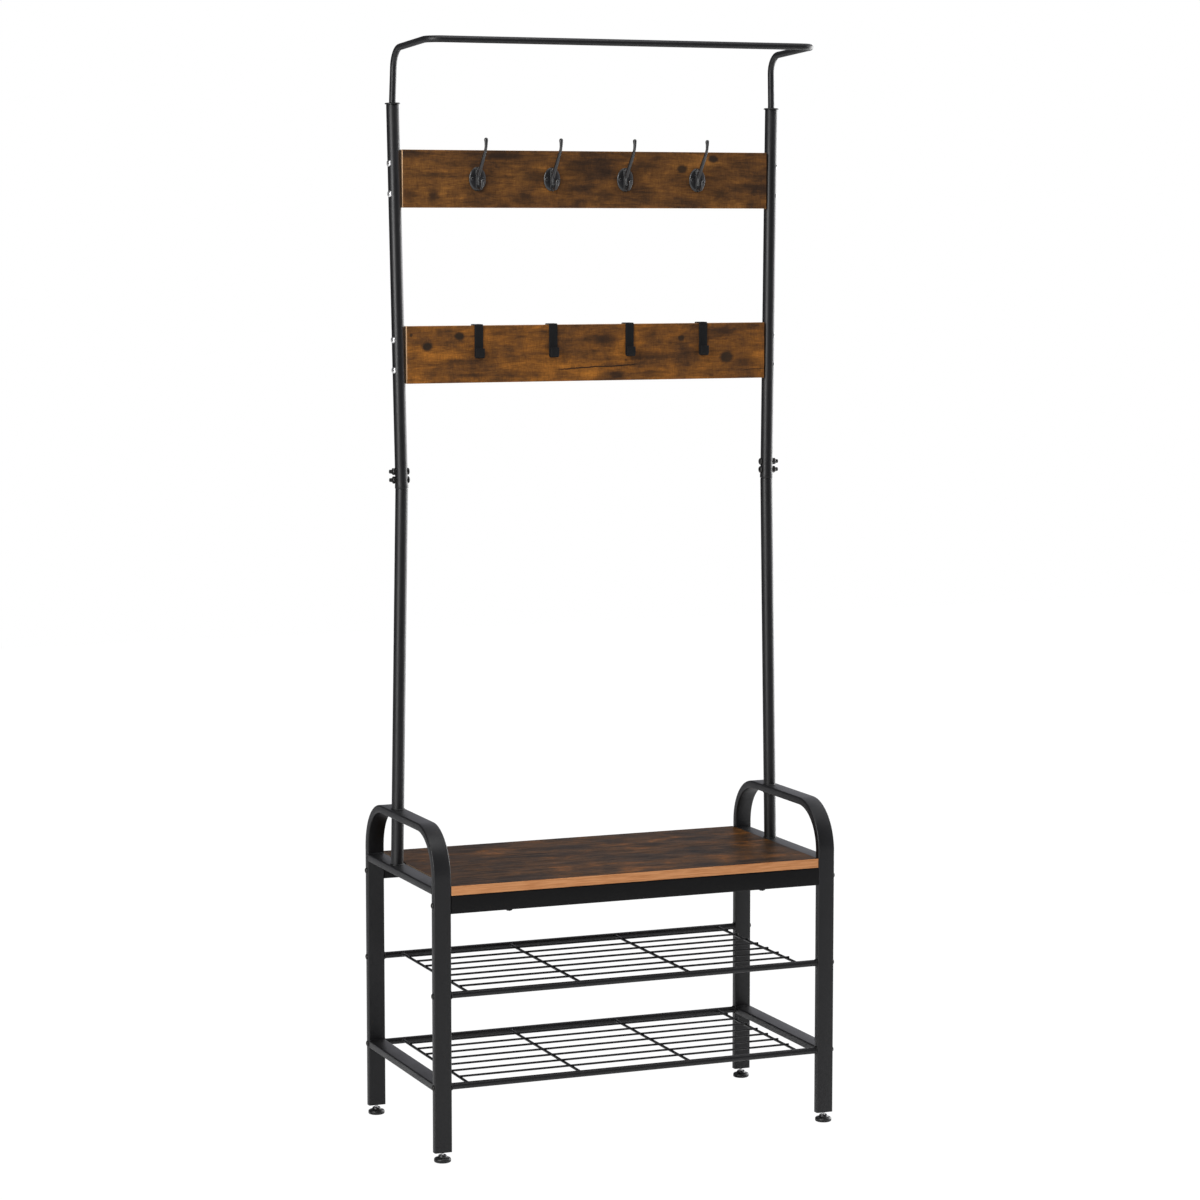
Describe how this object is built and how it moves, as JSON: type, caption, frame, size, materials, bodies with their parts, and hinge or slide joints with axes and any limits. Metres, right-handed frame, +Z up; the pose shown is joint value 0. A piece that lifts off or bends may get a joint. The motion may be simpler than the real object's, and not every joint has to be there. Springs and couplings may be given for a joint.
{
  "type": "hall tree with hooks",
  "caption": "Hall tree: a steel-tube bench with two wire shoe shelves, a wooden seat, two wooden hook boards and a forward hanging rail for coats.",
  "frame": {"origin": "on the floor, midway between the four feet", "axes": "+Z up, the front faces -Y, and +X is to the right as seen from the front"},
  "size_m": [0.72, 0.365, 1.8214],
  "materials": {
    "frame_tube": "fine matte black powder coat",
    "seat_board": "rustic dark brown wood-grain laminate on particle board, satin, with a light orange edge band",
    "hook_board": "rustic brown wood-grain laminate on particle board, satin",
    "coat_hook": "glossy black lacquer on cast zinc alloy",
    "strap_hook": "matte black powder coat on flat steel",
    "black_plastic": "moulded black plastic, satin",
    "black_hardware": "black-plated screws and nuts, satin",
    "zinc_hardware": "bright zinc plate"
  },
  "bodies": {
    "root": {"side_frame_left": "frame_tube", "seat_side_rail_left": "frame_tube", "lower_side_rail_left": "frame_tube", "lower_post_left": "frame_tube", "upper_post_left": "frame_tube", "post_sleeve_left": "frame_tube", "post_collar_left": "black_plastic", "side_frame_right": "frame_tube", "seat_side_rail_right": "frame_tube", "lower_side_rail_right": "frame_tube", "lower_post_right": "frame_tube", "upper_post_right": "frame_tube", "post_sleeve_right": "frame_tube", "post_collar_right": "black_plastic", "seat_rail_front": "frame_tube", "mid_shelf_rail_front": "frame_tube", "low_shelf_rail_front": "frame_tube", "seat_rail_back": "frame_tube", "mid_shelf_rail_back": "frame_tube", "low_shelf_rail_back": "frame_tube", "seat_board": "seat_board", "mid_shelf_grid": "frame_tube", "low_shelf_grid": "frame_tube", "hanging_rail": "frame_tube", "upper_hook_board": "hook_board", "lower_hook_board": "hook_board", "coat_hook_1": "coat_hook", "coat_hook_2": "coat_hook", "coat_hook_3": "coat_hook", "coat_hook_4": "coat_hook", "post_joint_bolt_left_upper": "black_hardware", "post_joint_bolt_left_lower": "black_hardware", "post_joint_bolt_right_upper": "black_hardware", "post_joint_bolt_right_lower": "black_hardware", "leg_plug_front_left": "black_plastic", "leg_plug_front_right": "black_plastic", "leg_plug_back_left": "black_plastic", "leg_plug_back_right": "black_plastic"},
    "strap_hook_1": {"strap_hook_1": "strap_hook"},
    "strap_hook_2": {"strap_hook_2": "strap_hook"},
    "strap_hook_3": {"strap_hook_3": "strap_hook"},
    "strap_hook_4": {"strap_hook_4": "strap_hook"},
    "foot_pad_front_left": {"foot_pad_front_left": "black_plastic"},
    "foot_stem_front_left": {"foot_stem_front_left": "zinc_hardware"},
    "foot_pad_front_right": {"foot_pad_front_right": "black_plastic"},
    "foot_stem_front_right": {"foot_stem_front_right": "zinc_hardware"},
    "foot_pad_back_left": {"foot_pad_back_left": "black_plastic"},
    "foot_stem_back_left": {"foot_stem_back_left": "zinc_hardware"},
    "foot_pad_back_right": {"foot_pad_back_right": "black_plastic"},
    "foot_stem_back_right": {"foot_stem_back_right": "zinc_hardware"}
  },
  "joints": [
    {"name": "strap_hook_1_slide", "type": "slide", "parent": "root", "child": "strap_hook_1", "axis": [1, 0, 0], "range_m": [-0.045, 0.055]},
    {"name": "strap_hook_2_slide", "type": "slide", "parent": "root", "child": "strap_hook_2", "axis": [1, 0, 0], "range_m": [-0.055, 0.055]},
    {"name": "strap_hook_3_slide", "type": "slide", "parent": "root", "child": "strap_hook_3", "axis": [1, 0, 0], "range_m": [-0.055, 0.055]},
    {"name": "strap_hook_4_slide", "type": "slide", "parent": "root", "child": "strap_hook_4", "axis": [1, 0, 0], "range_m": [-0.055, 0.045]},
    {"name": "foot_pad_front_left_slide", "type": "slide", "parent": "root", "child": "foot_pad_front_left", "axis": [0, 0, -1], "range_m": [-0.004, 0.01]},
    {"name": "foot_stem_front_left_turn", "type": "hinge", "parent": "foot_pad_front_left", "child": "foot_stem_front_left", "pos_m": [-0.345, -0.1685, 0.02], "axis": [0, 0, 1], "range_deg": [-1441, 3601]},
    {"name": "foot_pad_front_right_slide", "type": "slide", "parent": "root", "child": "foot_pad_front_right", "axis": [0, 0, -1], "range_m": [-0.004, 0.01]},
    {"name": "foot_stem_front_right_turn", "type": "hinge", "parent": "foot_pad_front_right", "child": "foot_stem_front_right", "pos_m": [0.345, -0.1685, 0.02], "axis": [0, 0, 1], "range_deg": [-1441, 3601]},
    {"name": "foot_pad_back_left_slide", "type": "slide", "parent": "root", "child": "foot_pad_back_left", "axis": [0, 0, -1], "range_m": [-0.004, 0.01]},
    {"name": "foot_stem_back_left_turn", "type": "hinge", "parent": "foot_pad_back_left", "child": "foot_stem_back_left", "pos_m": [-0.345, 0.1685, 0.02], "axis": [0, 0, 1], "range_deg": [-1441, 3601]},
    {"name": "foot_pad_back_right_slide", "type": "slide", "parent": "root", "child": "foot_pad_back_right", "axis": [0, 0, -1], "range_m": [-0.004, 0.01]},
    {"name": "foot_stem_back_right_turn", "type": "hinge", "parent": "foot_pad_back_right", "child": "foot_stem_back_right", "pos_m": [0.345, 0.1685, 0.02], "axis": [0, 0, 1], "range_deg": [-1441, 3601]}
  ],
  "couplings": [
    {"joint": "foot_stem_front_left_turn", "follows": "foot_pad_front_left_slide", "rad_per_m": 6283.2},
    {"joint": "foot_stem_front_right_turn", "follows": "foot_pad_front_right_slide", "rad_per_m": 6283.2},
    {"joint": "foot_stem_back_left_turn", "follows": "foot_pad_back_left_slide", "rad_per_m": 6283.2},
    {"joint": "foot_stem_back_right_turn", "follows": "foot_pad_back_right_slide", "rad_per_m": 6283.2}
  ]
}
